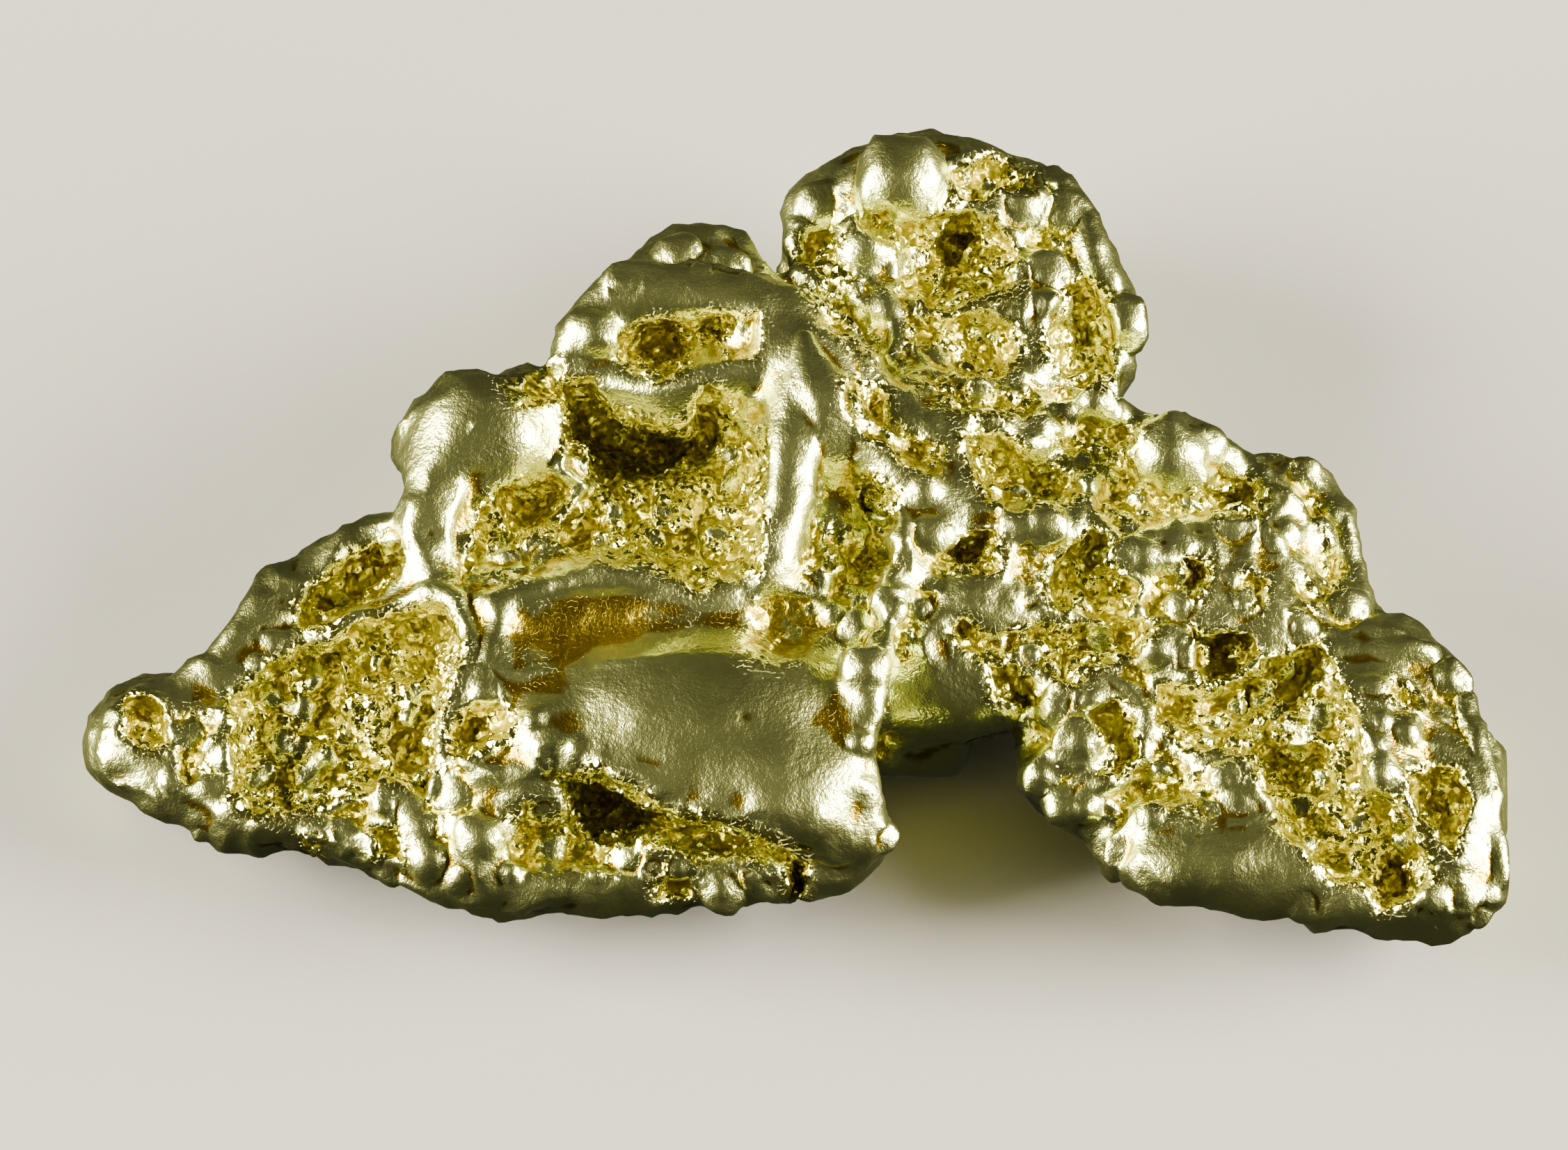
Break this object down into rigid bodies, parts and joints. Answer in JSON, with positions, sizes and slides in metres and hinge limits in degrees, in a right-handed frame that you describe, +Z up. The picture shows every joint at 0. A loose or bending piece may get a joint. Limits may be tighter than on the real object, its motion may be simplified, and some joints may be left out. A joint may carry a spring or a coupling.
{
  "type": "gold nugget",
  "caption": "Natural placer gold nugget: a flattened, water-worn lump with a beak-like arm, a domed head, pitted wings and an overhanging front ledge, lying as found.",
  "frame": {"origin": "centre of the bounding box at the height of the surface that the nugget lies on", "axes": "+X along the nugget's length from the hooked arm to the pitted wing, +Y from the showing side to the back, +Z up"},
  "size_m": [0.015, 0.0098, 0.0033],
  "materials": {
    "native_gold": "native gold, burnished by wear on the high places and bright and grainy in the pits"
  },
  "bodies": {
    "root": {"nugget": "native_gold"}
  },
  "joints": []
}
